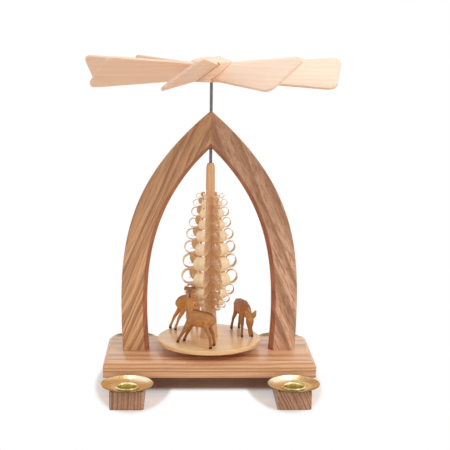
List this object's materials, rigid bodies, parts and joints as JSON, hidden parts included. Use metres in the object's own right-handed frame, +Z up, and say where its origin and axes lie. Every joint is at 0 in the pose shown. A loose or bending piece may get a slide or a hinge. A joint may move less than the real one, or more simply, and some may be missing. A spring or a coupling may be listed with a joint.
{
  "type": "candle carousel",
  "caption": "Heat-driven wooden candle carousel: a bladed rotor turns a spindle with a shaved tree, deer and a turntable inside a pointed arch over brass candle holders.",
  "frame": {"origin": "on the spindle's axis, at the surface that the foot bars stand on", "axes": "+Z up along the spindle, +X to the right along the long side of the base plate, +Y to the back, along the foot bars"},
  "size_m": [0.2006, 0.2006, 0.2653],
  "materials": {
    "plate_wood": "oiled ash, clear streaks",
    "arch_wood": "oiled ash, bold grain",
    "dowel_wood": "raw beech",
    "rotor_wood": "raw maple, sanded",
    "turntable_wood": "raw maple, sanded",
    "shaved_wood": "raw lime wood, knife cut",
    "deer_wood": "carved and stained",
    "brass": "pressed sheet, polished",
    "spindle_steel": "drawn wire, dark",
    "screw_steel": "zinc plated"
  },
  "bodies": {
    "stand": {"base_plate": "plate_wood", "foot_bar_left": "plate_wood", "foot_bar_right": "plate_wood", "arch_leg_left": "arch_wood", "arch_leg_right": "arch_wood", "lower_bearing_cup": "brass", "upper_guide_bush": "brass", "apex_dowel_front": "dowel_wood", "apex_dowel_back": "dowel_wood", "foot_screw_front_left": "screw_steel", "foot_screw_back_left": "screw_steel", "foot_screw_front_right": "screw_steel", "foot_screw_back_right": "screw_steel", "leg_screw_left": "screw_steel", "leg_screw_right": "screw_steel", "candle_dish_front_left": "brass", "candle_cup_front_left": "brass", "candle_dish_back_left": "brass", "candle_cup_back_left": "brass", "candle_dish_front_right": "brass", "candle_cup_front_right": "brass", "candle_dish_back_right": "brass", "candle_cup_back_right": "brass"},
    "spinner": {"spindle": "spindle_steel", "turntable": "turntable_wood", "curl_tree": "shaved_wood", "rotor_hub": "rotor_wood", "deer_front": "deer_wood", "deer_left": "deer_wood", "deer_right": "deer_wood", "rotor_blade_1": "rotor_wood", "rotor_blade_2": "rotor_wood", "rotor_blade_3": "rotor_wood", "rotor_blade_4": "rotor_wood", "rotor_blade_5": "rotor_wood", "rotor_blade_6": "rotor_wood", "rotor_blade_7": "rotor_wood", "rotor_blade_8": "rotor_wood"}
  },
  "joints": [
    {"name": "spindle_spin", "type": "hinge", "parent": "stand", "child": "spinner", "pos_m": [0, 0, 0.0257], "axis": [0, 0, 1], "continuous": true}
  ]
}
